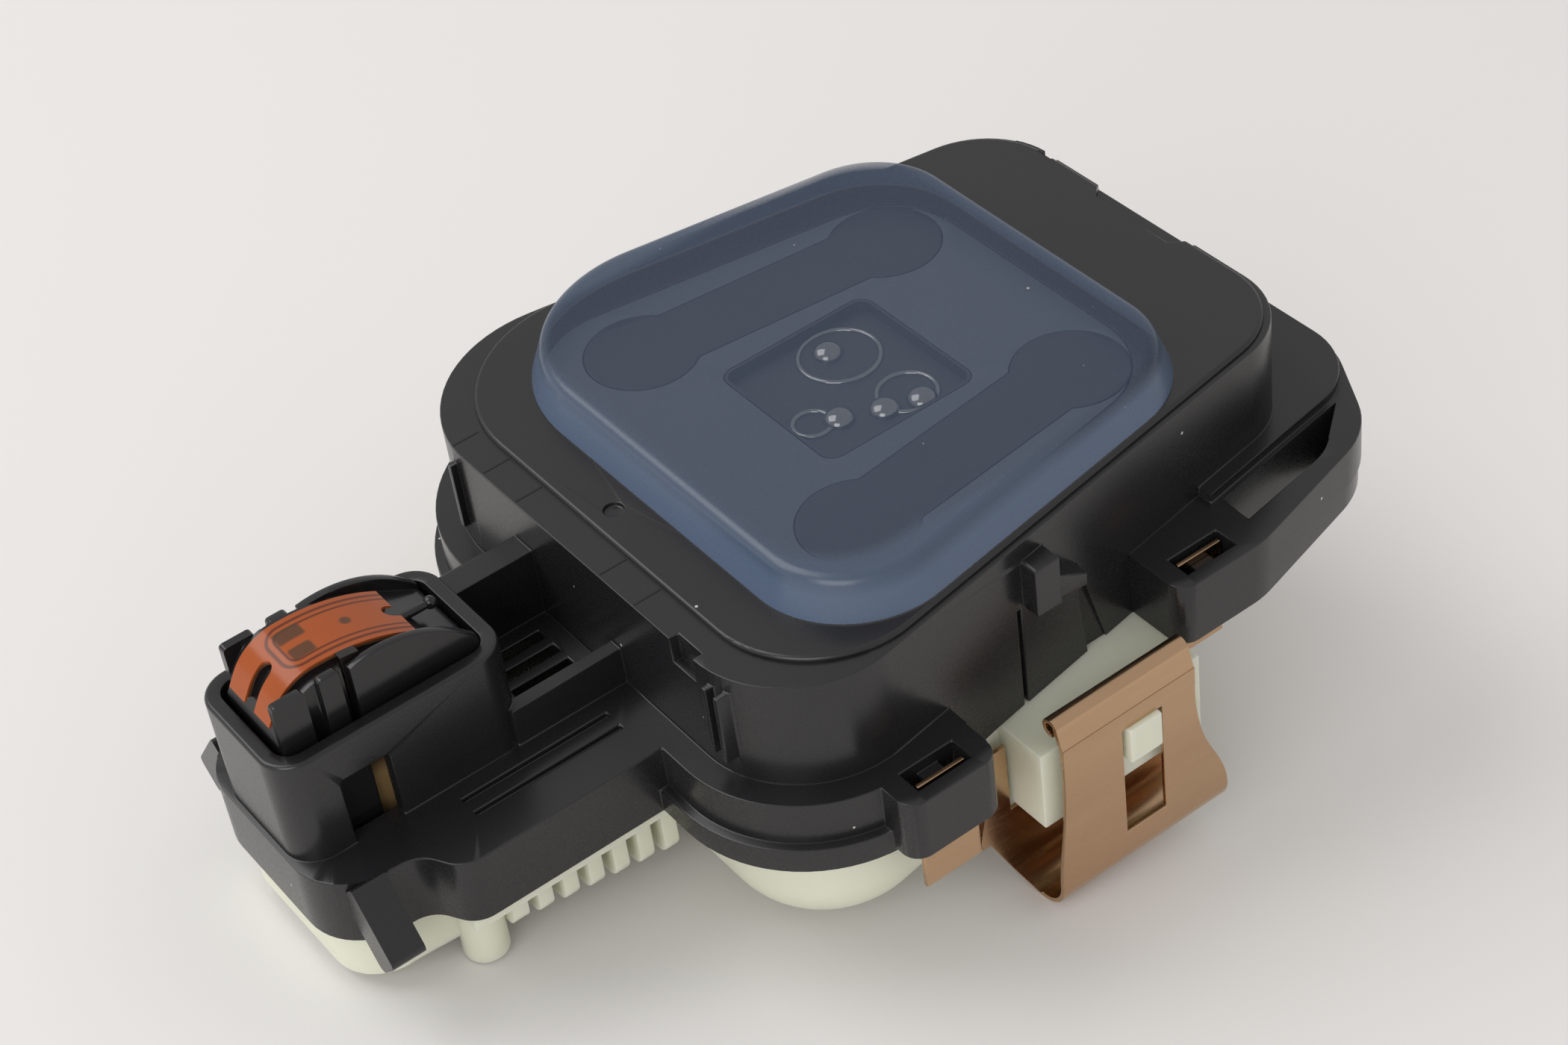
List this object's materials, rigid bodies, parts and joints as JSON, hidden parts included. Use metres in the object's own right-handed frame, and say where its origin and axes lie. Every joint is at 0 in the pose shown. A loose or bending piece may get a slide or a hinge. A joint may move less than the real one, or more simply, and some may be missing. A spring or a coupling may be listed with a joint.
{
  "type": "rain and light sensor",
  "caption": "Windscreen rain and light sensor with a soft coupling pad, bronze spring clips and a sprung condensation sensor in its nose.",
  "frame": {"origin": "middle of the coupling pad's contact face, the face that meets the glass", "axes": "+Z points out of the contact face at the glass, the condensation nose points along -X, and the spring clips are on the -Y and +Y sides"},
  "size_m": [0.0822, 0.0548, 0.0326],
  "materials": {
    "black_plastic": "satin moulded",
    "milky_plastic": "milky, slightly translucent",
    "coupling_rubber": "satin silicone, translucent",
    "dark_window": "smooth",
    "infrared_plastic": "smooth",
    "clear_plastic": "clear",
    "board_laminate": "satin lacquer",
    "lamp_resin": "smooth",
    "chip_resin": "matt",
    "capacitor_can": "satin",
    "socket_plastic": "matt",
    "contact_metal": "tinned",
    "spring_bronze": "brushed bronze",
    "amber_film": "glossy film",
    "brown_foam": "matt foam",
    "lead_film": "satin film",
    "spring_steel": "bright"
  },
  "bodies": {
    "case": {"housing": "black_plastic", "rear_cover": "milky_plastic", "coupling_pad": "coupling_rubber", "window_plate": "dark_window", "ir_guide_front": "infrared_plastic", "ir_guide_rear": "infrared_plastic", "lens_cluster": "clear_plastic", "circuit_board": "board_laminate", "ir_emitters": "lamp_resin", "ir_receivers": "lamp_resin", "light_sensors": "chip_resin", "control_chip": "chip_resin", "board_capacitors": "capacitor_can", "supply_regulator": "chip_resin", "flex_socket": "socket_plastic", "connector_pins": "contact_metal", "spring_clip_front": "spring_bronze", "spring_clip_rear": "spring_bronze", "flex_tail": "lead_film", "carrier_spring": "spring_steel"},
    "plunger": {"sensor_carrier": "black_plastic", "humidity_flex": "amber_film", "flex_cushion": "brown_foam", "humidity_chip": "chip_resin"}
  },
  "joints": [
    {"name": "carrier_slide", "type": "slide", "parent": "case", "child": "plunger", "axis": [0, 0, -1], "range_m": [0, 0.002], "stiffness_N_per_m": 400, "springref_m": -0.0015, "deforming": ["carrier_spring", "flex_tail"]}
  ]
}
